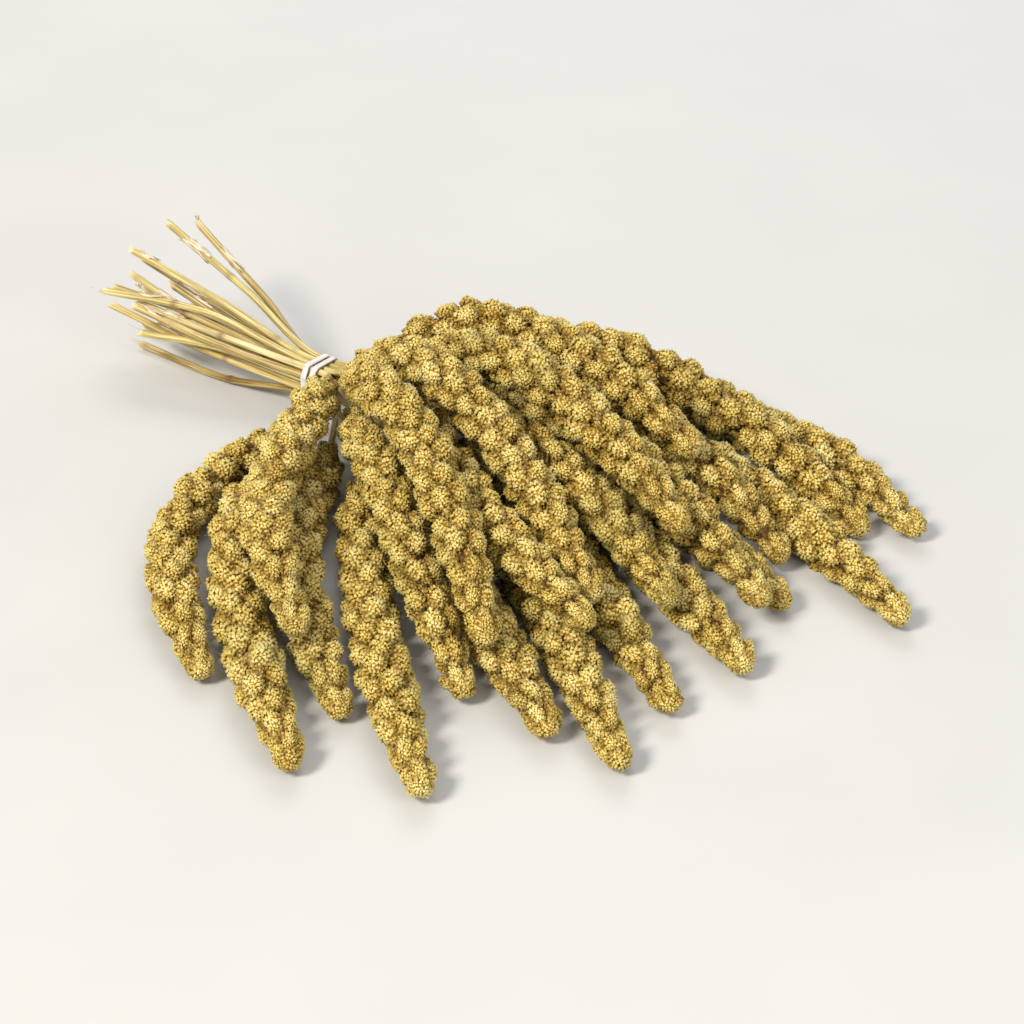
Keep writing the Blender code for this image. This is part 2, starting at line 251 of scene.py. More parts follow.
@dataclass(frozen=True)
class Bristle(Finish):
    """The fine stiff hairs between the grains: pale, and glossy like a hair."""

    name: str = "millet_bristle"
    roughness: float = 0.45

    def paint(self, tree: NodeTree) -> Paint:
        """Makes each hair paler towards its tip."""
        depth = add_node(tree, "Attribute", output="Fac", attribute_name="depth")
        stops = ((0.3, "#8a6b2c"), (1.0, "#ead9a0"))
        return add_node(tree, "ValToRGB", {0: depth}, stops=stops), None


@dataclass(frozen=True)
class DryStraw(Finish):
    """Dry millet straw: a waxy skin with fine fibres along it, pale where it bleached in the sun.

    The pattern follows the straw by its own attribute, which holds the skin's place round the
    straw and along it. Real fibres are about 0.15 mm wide, too fine to show, and are drawn as
    coarse as they need to show.
    """

    name: str = "dry_straw"
    roughness: float = 0.42
    fibre: float = 0.7 * MM
    stretch: float = 0.03
    stain: float = 9 * MM

    def paint(self, tree: NodeTree) -> Paint:
        """Streaks the stem's own shade with fibres, and lays stains, joint and pith over it."""
        skin = add_node(tree, "Attribute", output="Vector", attribute_name="skin")
        shade, joint, pith = (
            add_node(tree, "Attribute", output="Fac", attribute_name=name)
            for name in ("shade", "joint", "pith")
        )
        along = add_node(tree, "Mapping", {"Vector": skin, "Scale": (1.0, 1.0, self.stretch)})
        fibres, stain = (
            add_node(tree, "TexNoise", {"Vector": place, "Scale": 1 / size, "Detail": detail})
            for place, size, detail in ((along, self.fibre, 3.0), (skin, self.stain, 2.0))
        )
        colour = add_node(
            tree,
            "ValToRGB",
            {0: fibres},
            stops=((0.36, "#64491c"), (0.64, "#efe0ac"), (0.5, "#b59d5b")),
        )
        tones = add_node(
            tree,
            "ValToRGB",
            {0: shade},
            stops=((0.0, "#7f6429"), (1.0, "#eedfab"), (0.45, "#bba158"), (0.72, "#beb069")),
        )
        stained = add_node(tree, "MapRange", {0: stain, 1: 0.58, 2: 0.78, 3: 0.0, 4: 0.5})
        for share, over in (
            (0.5, tones),
            (stained, linear("#9c7a3c")),
            (joint, linear("#6b4638")),
            (pith, linear("#f3e6bd")),
        ):
            colour = add_node(tree, "Mix", {0: share, 6: colour, 7: over}, 2, data_type="RGBA")
        relief = {"Height": fibres, "Strength": 0.35, "Distance": 0.15 * MM}
        return colour, add_node(tree, "Bump", relief)


@dataclass(frozen=True)
class SheathScrap(Mottled):
    """Dead leaf sheath, thin as tissue: bleached, dull and torn.

    Real veins are about 0.2 mm apart, and are drawn as coarse as they need to show.
    """

    name: str = "dry_leaf_sheath"
    roughness: float = 0.6
    size: float = 0.5 * MM
    stops: Stops = ((0.36, "#a88c5c"), (0.64, "#efe3cb"))
    detail: float = 2.0
    stretch: float = 0.05


@dataclass(frozen=True)
class WhiteElastic(Finish):
    """Moulded white rubber band, aged a little lilac: smooth, soft-edged, with a dull sheen."""

    name: str = "white_elastic_band"
    roughness: float = 0.48
    dust: float = 2.5 * MM
    groove: float = 2.2 * MM

    def values(self) -> dict[str, Any]:
        """The shader's values, with the little light that soft rubber lets in."""
        return super().values() | {
            "Subsurface Weight": 0.15,
            "Subsurface Radius": (1.0, 0.9, 0.85),
            "Subsurface Scale": 0.8 * MM,
        }

    def paint(self, tree: NodeTree) -> Paint:
        """Greys the band in soft patches where chaff dust clings, and grooves it lengthwise."""
        skin = add_node(tree, "Attribute", output="Vector", attribute_name="skin")
        dust = add_node(tree, "TexNoise", {"Vector": skin, "Scale": 1 / self.dust, "Detail": 3.0})
        wave = {"Vector": skin, "Scale": 1 / self.groove, "Distortion": 0.6}
        grooves = add_node(tree, "TexWave", wave, "Fac", bands_direction="X")
        stops = ((0.3, "#b9aea8"), (0.7, "#ece6ea"), (0.5, "#dcd5d8"))
        relief = {"Height": grooves, "Strength": 0.35, "Distance": 0.12 * MM}
        return add_node(tree, "ValToRGB", {0: dust}, stops=stops), add_node(tree, "Bump", relief)


@dataclass(frozen=True)
class PaintedBoard(Mottled):
    """Matt off-white painted board, the studio's floor, with slightly uneven paint."""

    name: str = "painted_board"
    roughness: float = 0.85
    size: float = 120 * MM
    stops: Stops = ((0.0, "#c1c1bf"), (1.0, "#cccbc9"))


def held(value: float, low: float = 0.0, high: float = 1.0) -> float:
    """A value kept between two limits."""
    return min(high, max(low, value))


def smooth(share: float) -> float:
    """An S curve from 0 to 1, flat outside that range."""
    share = held(share)
    return share * share * (3 - 2 * share)


def middle_of(points: Sequence[Vector]) -> Vector:
    """The middle of some points."""
    return sum(points, Vector()) / len(points)


def facing(way: Vector) -> Matrix:
    """The turn that brings +Z to a direction."""
    return way.to_track_quat("Z", "Y").to_matrix().to_4x4()


def sides_of(along: Vector) -> tuple[Vector, Vector]:
    """Two directions across a line, of which the first looks up as far as it can."""
    up = (Vector((0, 0, 1)) - along.z * along).normalized()
    return up, along.cross(up)


def in_order(verts: Iterable[BMVert]) -> list[BMVert]:
    """Each of some points once, by its number."""
    return sorted(set(verts), key=lambda vert: vert.index)


def keep_off_floor(shape: BMesh, gap: float) -> None:
    """Lifts each point that is nearer to the floor than the gap."""
    for vert in shape.verts:
        vert.co.z = max(vert.co.z, gap)


def extruded(shape: BMesh, edges: Sequence[BMEdge]) -> tuple[list[BMEdge], list[BMVert]]:
    """Extrudes a tube's open end by one ring, and returns the new end's edges and points."""
    made = bmesh.ops.extrude_edge_only(shape, edges=edges)["geom"]
    fresh = [part for part in made if isinstance(part, BMEdge) and part.is_boundary]
    return fresh, in_order(vert for edge in fresh for vert in edge.verts)


def merged_copy(node: str) -> BMesh:
    """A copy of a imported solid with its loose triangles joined."""
    copy = bmesh.new()
    copy.from_mesh(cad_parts[node].data)
    bmesh.ops.remove_doubles(copy, verts=copy.verts, dist=WELD)
    copy.verts.index_update()
    return copy


def rings_from(first: Sequence[BMVert]) -> Rings:
    """Sorts a tube's points into rings, by how many edges they are from its first ring.

    Args:
        first: The points of the ring at one end.

    Returns:
        The places of each ring's points, from that end to the other.
    """
    seen, rings, ring = set(first), [], list(first)
    while ring:
        rings.append([vert.co.copy() for vert in ring])
        beyond = {edge.other_vert(vert) for vert in ring for edge in vert.link_edges} - seen
        seen |= beyond
        ring = in_order(beyond)
    return rings


def mesh_of(name: str, shape: BMesh) -> Mesh:
    """A mesh of a bmesh's faces. The bmesh is freed."""
    mesh = bpy.data.meshes.new(name)
    shape.to_mesh(mesh)
    shape.free()
    return mesh


def put_in_scene(name: str, data: bpy.types.ID) -> Object:
    """A new object in the scene for a mesh, a light or a camera."""
    thing = bpy.data.objects.new(name, data)
    bpy.context.scene.collection.objects.link(thing)
    return thing


def add_point(shape: BMesh, radius: float, length: float, place: Matrix) -> list[BMVert]:
    """Adds a point with three sides and a foot about a place, and returns its corners."""
    return bmesh.ops.create_cone(
        shape, cap_ends=True, segments=3, radius1=radius, radius2=0.0, depth=length, matrix=place
    )["verts"]


def add_piece(
    name: str, shape: BMesh, finishes: Sequence[Material], nodes: Sequence[str] = ()
) -> Object:
    """Makes a finished piece from a bmesh, and sets it on the frame.

    Args:
        name: The piece's name.
        shape: Its faces, in place. It is freed.
        finishes: Its materials, in the order of its faces' numbers.
        nodes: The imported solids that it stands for.

    Returns:
        The piece.
    """
    mesh = mesh_of(name, shape)
    mesh.shade_smooth()
    for finish in finishes:
        mesh.materials.append(finish)
    piece = put_in_scene(name, mesh)
    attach(piece, BODY)
    if nodes:
        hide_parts(*nodes)
    triangles = sum(len(face.vertices) - 2 for face in mesh.polygons)
    log.info("%s: %d triangles", name, triangles)
    return piece


@dataclass(frozen=True)
class Route:
    """A smooth line through points, cut into short steps."""

    points: tuple[Vector, ...]
    step: float = 3 * MM

    def places(self) -> list[tuple[Vector, Vector, float]]:
        """Place, direction and distance from the start, at each short step of the line."""
        places, distance, last = [], 0.0, None
        for k in range(len(self.points) - 1):
            cuts = max(1, round((self.points[k + 1] - self.points[k]).length / self.step))
            for cut in range(cuts + (k == len(self.points) - 2)):
                place, direction = self.between(k, cut / cuts)
                distance += (place - last).length if last is not None else 0.0
                places.append((place, direction, distance))
                last = place
        return places

    def between(self, k: int, share: float) -> tuple[Vector, Vector]:
        """Place and direction at a share of the way from point k to the next."""
        a, b = self.points[k], self.points[k + 1]
        before = self.points[k - 1] if k else 2 * a - b
        after = self.points[k + 2] if k + 2 < len(self.points) else 2 * b - a
        length = (b - a).length
        slope_a = self.slope(before, a, b) * length
        slope_b = self.slope(a, b, after) * length
        place, turn = Vector(), Vector()
        for part, (cubic, square, plain, level) in (
            (a, (2, -3, 0, 1)),
            (slope_a, (1, -2, 1, 0)),
            (b, (-2, 3, 0, 0)),
            (slope_b, (1, -1, 0, 0)),
        ):
            place += part * (((cubic * share + square) * share + plain) * share + level)
            turn += part * ((3 * cubic * share + 2 * square) * share + plain)
        return place, turn.normalized()

    @staticmethod
    def slope(before: Vector, here: Vector, after: Vector) -> Vector:
        """Direction at a point, weighted so that a long step doesn't swing the line."""
        back, ahead = here - before, after - here
        far, near = back.length, ahead.length
        if min(far, near) < 1e-9:
            return (after - before).normalized()
        return (back / far * near + ahead / near * far) / (far + near)


@dataclass
class SeedCluster:
    """One seed cluster: a dark middle with grains packed over it and a few bristles.

    It stands on its own origin, with its crown along +Z and the head's tip along +Y. The grains'
    depth runs from 0 at its foot to 1 at its crown, and the husk paints shade where it is low;
    their tint runs from brown at 0 to cream at 1.
    """

    seed: int
    grains: int = 92
    half: Vector = field(default_factory=lambda: Vector((4.75, 5.9, 4.7)) * MM)
    grain: float = 0.86 * MM
    grain_foot: float = 1.2
    cap: float = radians(100)
    seat: float = 0.93
    knobs: int = 8
    knob_cap: float = radians(95)
    knob_width: float = 0.4
    knob_rise: float = 0.18
    bristles: int = 3
    bristle: float = 0.1 * MM
    bristle_cap: float = radians(80)
    core: tuple[int, int] = (6, 3)
    core_share: float = 0.95
    core_tint: float = 0.1
    # The middle shows in the gaps between grains; its depth gives them a painted shade of mid
    # brown
    core_depth: float = 0.5
    light: float = 1.0
    tone: float = 0.3
    # Painted highlight: paler grains on the crown and on the knobs
    crown_painted_highlight: float = 0.28
    knob_painted_highlight: float = 0.12
    tone_spread: float = 0.1
    # Painted highlight on each grain's tip, painted shade of ochre on its foot
    painted_tip_highlight: float = 0.24
    painted_foot_shade: float = 0.34
    mesh: Mesh | None = None

    @property
    def height(self) -> float:
        """How far the crown stands above the cluster's origin."""
        return self.half.z * (1 + self.knob_rise / 2) + self.grain / 2

    def build(self) -> "SeedCluster":
        """Models the cluster's mesh, and returns the cluster."""
        rng = Random(self.seed)
        shape = bmesh.new()
        for name in ("tint", "depth"):
            shape.verts.layers.float.new(name)
        tint, depth = (shape.verts.layers.float[name] for name in ("tint", "depth"))
        middle = bmesh.ops.create_uvsphere(
            shape,
            u_segments=self.core[0],
            v_segments=self.core[1],
            radius=self.core_share,
            matrix=Matrix.Diagonal((*self.half, 1)),
        )
        for vert in middle["verts"]:
            vert[tint], vert[depth] = self.core_tint, self.core_depth
        knobs = [self.direction(k, self.knobs, rng, self.knob_cap) for k in range(self.knobs)]
        for k in range(self.grains):
            way = self.direction(k, self.grains, rng, self.cap)
            rise = max(exp(-((way.angle(knob) / self.knob_width) ** 2)) for knob in knobs)
            place = self.out(way) * (self.seat + self.knob_rise * rise)
            grain = self.add_grain(shape, place, way, rng)
            # Painted highlight: grains that face up, and those on the knobs, get a paler tint
            crown = self.crown_painted_highlight * max(0.0, way.z)
            tone = rng.gauss(self.tone + crown + self.knob_painted_highlight * rise, self.tone_spread)
            for vert in grain:
                # Painted highlight on the grain's tip, painted shade on its foot
                tip_light_foot_shade = self.painted_tip_highlight if (vert.co - place).dot(way) > 0 else -self.painted_foot_shade
                # Depth for the husk's painted shade: low at the cluster's foot, a little lower off
                # the knobs, and lower all over where light is below 1
                level = 0.5 + 0.5 * vert.co.z / self.half.z
                vert[tint] = held(tone + tip_light_foot_shade)
                vert[depth] = self.light * level * (0.9 + 0.1 * rise)
        self.add_bristles(shape, rng)
        self.mesh = mesh_of(f"cluster_{self.seed}", shape)
        return self

    def direction(self, k: int, count: int, rng: Random, cap: float) -> Vector:
        """The k-th of some directions spread evenly over a cap round +Z, each a little off."""
        low = cos(cap)
        z = 1 - (1 - low) * (k + 0.5 + rng.uniform(-0.35, 0.35)) / count
        turn = k * pi * (3 - sqrt(5)) + rng.uniform(-0.18, 0.18)
        flat = sqrt(max(0.0, 1 - z * z))
        return Vector((flat * cos(turn), flat * sin(turn), z))

    def out(self, way: Vector) -> Vector:
        """The point of the cluster's middle in a direction."""
        return Vector(a * b for a, b in zip(way, self.half))

    def add_grain(self, shape: BMesh, place: Vector, way: Vector, rng: Random) -> list[BMVert]:
        """Adds one grain of millet, a small blunt point whose foot is sunk in the cluster.

        Args:
            shape: The bmesh that it goes into.
            place: Its middle.
            way: Where its point looks.
            rng: Random numbers for its own size and turn.

        Returns:
            The grain's points.
        """
        size = self.grain * rng.uniform(0.85, 1.15)
        turned = Matrix.Translation(place) @ facing(way)
        turned @= Matrix.Rotation(rng.uniform(0, tau), 4, "Z")
        made = add_point(shape, self.grain_foot * size, size * rng.uniform(1.0, 1.3), turned)
        foot = {vert for vert in made if (vert.co - place).dot(way) < 0}
        for edge in {edge for vert in foot for edge in vert.link_edges}:
            edge.smooth = not set(edge.verts) <= foot
        return made

    def add_bristles(self, shape: BMesh, rng: Random) -> None:
        """Adds a few stiff hairs that stand between the grains."""
        depth = shape.verts.layers.float["depth"]
        for k in range(self.bristles):
            way = self.direction(k, self.bristles, rng, self.bristle_cap)
            lean = (way + Vector((rng.uniform(-0.3, 0.3), rng.uniform(0, 0.5), 0))).normalized()
            length = rng.uniform(3.2, 4.6) * MM
            foot = Matrix.Translation(self.out(way) * 0.9) @ facing(lean)
            middle = foot @ Matrix.Translation((0, 0, length / 2))
            made = add_point(shape, self.bristle, length, middle)
            for vert in made:
                vert[depth] = 0.3 if (vert.co - foot.translation).length < length / 2 else 1.0
            for face in {face for vert in made for face in vert.link_faces}:
                face.material_index = 2


@dataclass
class SeedHead:
    """A seed head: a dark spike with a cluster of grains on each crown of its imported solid."""

    number: int
    stem_end: Vector
    clusters: Sequence[SeedCluster]
    knobs: Sequence[SeedCluster]
    finishes: Sequence[Material]
    lobes: int = 5
    full_radius: float = 11.5 * MM
    spike_share: float = 0.5
    cap_reach: float = 4.0 * MM
    ring_least: int = 6
    valley_band: float = 0.35
    crown_reach: float = 4.5 * MM
    crown_least: float = 0.4 * MM
    knob_sink: float = 3.4 * MM
    knob_ahead: float = 4.3 * MM
    knob_least: float = 7.5 * MM
    tip_size: float = 0.86
    tone_spread: float = 0.07
    forward: float = radians(20)
    forward_spread: float = radians(6)
    turn_spread: float = 0.25
    across_least: float = 0.62
    size_most: float = 1.05
    wander: float = 1.5 * MM
    wander_most: float = 2.9 * MM
    floor_gap: float = 0.12 * MM

    def build(self) -> Object:
        """Grows the clusters on the spike, and returns the piece."""
        rng = Random(1000 + self.number)
        node = f"head_{self.number:02d}"
        spike = merged_copy(node)
        rings = self.read_rings(spike)
        middles = self.middles(rings)
        shape = self.start(spike, middles)
        tint = shape.verts.layers.float["tint"]
        for cluster, place in self.cluster_places(rings, middles, rng):
            first = len(shape.verts)
            shape.from_mesh(cluster.mesh)
            shape.verts.ensure_lookup_table()
            fresh = shape.verts[first:]
            bmesh.ops.transform(shape, matrix=place, verts=fresh)
            tone = rng.gauss(0, self.tone_spread)
            for vert in fresh:
                vert[tint] = held(vert[tint] + tone)
        keep_off_floor(shape, self.floor_gap)
        return add_piece(f"millet_{node}", shape, self.finishes, [node])

    def read_rings(self, spike: BMesh) -> Rings:
        """The rings of the solid's points from the stem's end, without a broken last one."""
        first = [v for v in spike.verts if (v.co - self.stem_end).length < self.cap_reach]
        rings = rings_from(first)
        while len(rings[-1]) < self.ring_least or len(rings) % 2 == 0:
            rings.pop()
        return rings

    def start(self, spike: BMesh, middles: list[Vector]) -> BMesh:
        """The inner stalk, which is the solid drawn in to its middle line, numbered anew."""
        for layer in ("tint", "depth"):
            spike.verts.layers.float.new(layer)
        for face in spike.faces:
            face.material_index = 1
        last = len(middles) - 2
        for vert in spike.verts:
            near = min(range(len(middles)), key=lambda k: (middles[k] - vert.co).length)
            share = self.spike_share if near < last else 0.0
            vert.co = middles[min(near, last)].lerp(vert.co, share)
        bmesh.ops.remove_doubles(spike, verts=spike.verts, dist=WELD)
        packed = spike.copy()
        spike.free()
        return packed

    def middles(self, rings: Rings) -> list[Vector]:
        """The middle of each ring. The full rings in the valleys give those of the whorls too."""
        valleys = []
        for ring in rings[::2]:
            middle = middle_of(ring)
            spread = sorted((point - middle).length for point in ring)[len(ring) // 2]
            band = self.valley_band * spread
            near = [p for p in ring if abs((p - middle).length - spread) < band]
            valleys.append(middle_of(near or ring))
        middles = [valleys[0]]
        for before, after in zip(valleys, valleys[1:]):
            middles += [(before + after) / 2, after]
        return middles

    def axes(self, middles: list[Vector]) -> list[Matrix]:
        """At each ring, two directions across the head and one along it, without a twist."""
        axes, across = [], Vector((0, 0, 1))
        for k in range(len(middles)):
            along = (middles[min(k + 1, len(middles) - 1)] - middles[max(k - 1, 0)]).normalized()
            across = (across - across.dot(along) * along).normalized()
            axes.append(Matrix((across, along.cross(across), along)).transposed())
        return axes

    def crown_turn(self, rings: Rings, middles: list[Vector], axes: list[Matrix]) -> float:
        """The angle of the first crown of an even whorl, from all the full rings together."""
        cosine = sine = 0.0
        for k in range(1, len(rings) - 1, 2):
            if len(rings[k]) != 2 * self.lobes:
                continue
            flat = [axes[k].transposed() @ (point - middles[k]) for point in rings[k]]
            reach = [hypot(p.x, p.y) for p in flat]
            mean = sum(reach) / len(reach)
            side = -1 if (k // 2) % 2 else 1
            for point, radius in zip(flat, reach):
                turn = self.lobes * atan2(point.y, point.x)
                cosine += side * (radius - mean) * cos(turn)
                sine += side * (radius - mean) * sin(turn)
        return atan2(sine, cosine) / self.lobes

    def cluster_places(
        self, rings: Rings, middles: list[Vector], rng: Random
    ) -> list[tuple[SeedCluster, Matrix]]:
        """Where each cluster of the head goes, turned and scaled, and the knobs between them.

        Args:
            rings: The solid's rings of points.
            middles: The middle of each ring.
            rng: The head's own random numbers.

        Returns:
            A cluster and its matrix for each.
        """
        axes = self.axes(middles)
        turn = self.crown_turn(rings, middles, axes)
        places = []
        for k in range(1, len(rings) - 1, 2):
            whorl_turn = turn + (k // 2 % 2) * pi / self.lobes
            reach = sorted((point - middles[k]).length for point in rings[k])[-3:]
            typical = sum(reach) / len(reach)
            for lobe in range(self.lobes):
                angle = whorl_turn + tau * lobe / self.lobes
                out = axes[k] @ Vector((cos(angle), sin(angle), 0))
                guess = middles[k] + out * typical
                near = min(rings[k], key=lambda point: (point - guess).length)
                real = (near - guess).length < self.crown_reach and near.z > self.crown_least
                crown = near if real else guess
                cluster = rng.choice(self.clusters)
                place = self.cluster_place(cluster, crown, middles[k], axes[k], rng)
                places.append((cluster, place))
                if typical < self.knob_least:
                    continue
                for ahead in (-self.knob_ahead, self.knob_ahead):
                    between = angle + pi / self.lobes + rng.gauss(0, 0.1)
                    out = axes[k] @ Vector((cos(between), sin(between), 0))
                    middle = middles[k] + axes[k].col[2] * ahead
                    low = middle + out * (typical - self.knob_sink)
                    knob = rng.choice(self.knobs)
                    places.append((knob, self.cluster_place(knob, low, middle, axes[k], rng)))
        cluster = rng.choice(self.clusters)
        places.append((cluster, self.tip_place(cluster, middles[-1], axes[-1].col[2], rng)))
        return places

    def cluster_place(
        self, cluster: SeedCluster, crown: Vector, middle: Vector, axes: Matrix, rng: Random
    ) -> Matrix:
        """The matrix of one cluster.

        Args:
            cluster: The cluster.
            crown: The point that the cluster's crown reaches.
            middle: The head's middle at that whorl.
            axes: The head's directions there, across, beside and along.
            rng: The head's own random numbers.

        Returns:
            The cluster's place, turn and scale.
        """
        along = axes.col[2]
        out = crown - middle
        share = (out - out.dot(along) * along).length / self.full_radius
        out = out.normalized()
        lean = self.forward + rng.gauss(0, self.forward_spread)
        up = (out * cos(lean) + along * sin(lean)).normalized()
        side = along.cross(up).normalized()
        turned = Matrix((side, up.cross(side), up)).transposed().to_4x4()
        turned @= Matrix.Rotation(rng.gauss(0, self.turn_spread), 4, "Z")
        size = rng.uniform(0.88, 1.12)
        across = size * held(share, self.across_least, self.size_most)
        lengthwise = size * held(share, 1.0, self.size_most)
        shift = held(rng.gauss(0, self.wander), -self.wander_most, self.wander_most)
        place = crown - up * cluster.height * across + along * shift * min(1.0, share**2)
        half_turn = Matrix.Rotation(rng.choice((pi, 0.0)), 4, "Z")
        scale = Matrix.Diagonal((across, lengthwise, across, 1))
        return Matrix.Translation(place) @ turned @ scale @ half_turn

    def tip_place(
        self, cluster: SeedCluster, middle: Vector, along: Vector, rng: Random
    ) -> Matrix:
        """The matrix of the small cluster that ends the head."""
        turned = facing(along) @ Matrix.Rotation(rng.uniform(0, tau), 4, "Z")
        place = middle - along * cluster.height * self.tip_size
        return Matrix.Translation(place) @ turned @ Matrix.Scale(self.tip_size, 4)


class CutEnd(Enum):
    """How a straw's free end was cut."""

    SQUARE = "square"
    SLANTED = "slanted"
    SPLIT = "split"


@dataclass(frozen=True)
class StrawRing:
    """One ring of a straw's tube, with what the straw's finish reads there."""

    place: Vector
    along: Vector
    radius: float
    distance: float
    level: float = 0.0
    pith: float = 0.0
    bulge: float = 0.0
    cut: CutEnd = CutEnd.SQUARE


@dataclass
class Straw:
    """A straw stem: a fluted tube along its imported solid, hollow where it was cut."""

    number: int
    finishes: Sequence[Material]
    sides: int = 12
    end_reach: float = 4.6 * MM
    flute: float = 0.035
    joint_rise: float = 0.2
    joint_half: float = 1.3 * MM
    joint_stain: float = 0.75
    wall: float = 0.55
    bore: float = 1.5 * MM
    bore_start: float = 0.02 * MM
    slant_share: float = 0.9
    split: float = 1.8 * MM
    floor_gap: float = 0.12 * MM
    shade: float = 0.0
    slant: float = 0.0
    route: list[Vector] = field(default_factory=list)
    radii: list[float] = field(default_factory=list)

    def __post_init__(self) -> None:
        """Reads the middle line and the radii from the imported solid."""
        tube = merged_copy(self.node)
        end = min((vert.co for vert in tube.verts), key=lambda place: place.x).copy()
        first = [vert for vert in tube.verts if (vert.co - end).length < self.end_reach]
        for ring in rings_from(first):
            middle = middle_of(ring)
            self.route.append(middle)
            self.radii.append(sum((point - middle).length for point in ring) / len(ring))
        tube.free()

    @property
    def node(self) -> str:
        """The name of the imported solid."""
        return f"stem_{self.number:02d}"

    def build(self) -> Object:
        """Draws the tube from inside its cut end to the head, and returns the piece."""
        rng = Random(2000 + self.number)
        shape = bmesh.new()
        for layer in ("around", "shade", "joint", "pith"):
            shape.verts.layers.float.new(layer)
        shape.verts.layers.float_vector.new("skin")
        edges = self.start_ring(shape)
        cut = rng.choices(list(CutEnd), (4, 5, 3))[0]
        self.shade = held(rng.gauss(0.5, 0.3))
        tail = (self.route[1] - self.route[0]).length * 2
        joint = rng.uniform(0.25, 0.8) * tail
        self.slant = rng.uniform(0, tau)
        for ring in self.rings(cut, joint):
            edges = self.add_ring(shape, edges, ring, rng)
        keep_off_floor(shape, self.floor_gap)
        bmesh.ops.holes_fill(shape, edges=edges, sides=0)
        bmesh.ops.recalc_face_normals(shape, faces=shape.faces)
        shape.verts.layers.float.remove(shape.verts.layers.float["around"])
        return add_piece(f"straw_{self.node}", shape, self.finishes, [self.node])

    def start_ring(self, shape: BMesh) -> list[BMEdge]:
        """The bore's closed end, small and deep, with each point's angle round the straw."""
        around = shape.verts.layers.float["around"]
        ahead = (self.route[1] - self.route[0]).normalized()
        deep = Matrix.Translation(self.route[0] + ahead * self.bore)
        ring = bmesh.ops.create_circle(
            shape, cap_ends=True, segments=self.sides, radius=self.bore_start, matrix=deep
        )
        for vert in ring["verts"]:
            out = vert.co - deep.translation
            vert[around] = atan2(out.y, out.x)
        return list(shape.edges)

    def rings(self, cut: CutEnd, joint: float) -> list[StrawRing]:
        """The rings out of the bore and over the cut rim, then those along the swollen tube."""
        places = Route(tuple(self.route)).places()
        place, along, _ = places[0]
        total = places[-1][2]
        rings = [
            StrawRing(place, along, self.radii[0] * share, level, level, pith, cut=cut)
            for level, share, pith in (
                (self.bore, 0.05, 0.8),
                (self.bore, self.wall * 0.9, 0.8),
                (0.06 * MM, self.wall, 1.0),
                (0.0, self.wall * 1.1, 1.0),
                (0.0, 0.97, 1.0),
                (0.1 * MM, 1.0, 0.5),
            )
        ]
        for place, along, distance in places[1:]:
            radius = self.radii[0] + (self.radii[-1] - self.radii[0]) * distance / total
            bulge = exp(-(((distance - joint) / self.joint_half) ** 2))
            radius *= 1 + self.joint_rise * bulge
            rings.append(StrawRing(place, along, radius, distance, bulge=bulge))
        return rings

    def add_ring(
        self, shape: BMesh, edges: list[BMEdge], ring: StrawRing, rng: Random
    ) -> list[BMEdge]:
        """Extrudes the tube's open end to one more ring, with shallow flutes and the end's cut.

        Args:
            shape: The bmesh of the straw.
            edges: The edges of its open end.
            ring: The ring that it goes to.
            rng: The straw's own random numbers.

        Returns:
            The new end's edges.
        """
        edges, verts = extruded(shape, edges)
        floats = shape.verts.layers.float
        skin = shape.verts.layers.float_vector["skin"]
        up, beside = sides_of(ring.along)
        thick = self.radii[0]
        for k, vert in enumerate(verts):
            turn = vert[floats["around"]]
            out = up * cos(turn) + beside * sin(turn)
            wave = 1 + self.flute * (1 if k % 2 else -1) * rng.uniform(0.3, 1)
            level = ring.level
            if ring.cut is CutEnd.SLANTED:
                level -= self.slant_share * ring.radius * cos(out.z * 2 + self.slant)
            elif ring.cut is CutEnd.SPLIT:
                level -= rng.uniform(0, self.split) * (k % 3 == 0)
            vert.co = ring.place + out * ring.radius * wave + ring.along * level
            vert[floats["pith"]], vert[floats["shade"]] = ring.pith, self.shade
            vert[floats["joint"]] = self.joint_stain * ring.bulge
            length = ring.distance + 0.5 * self.number
            vert[skin] = (thick * cos(turn), thick * sin(turn), length)
        return edges


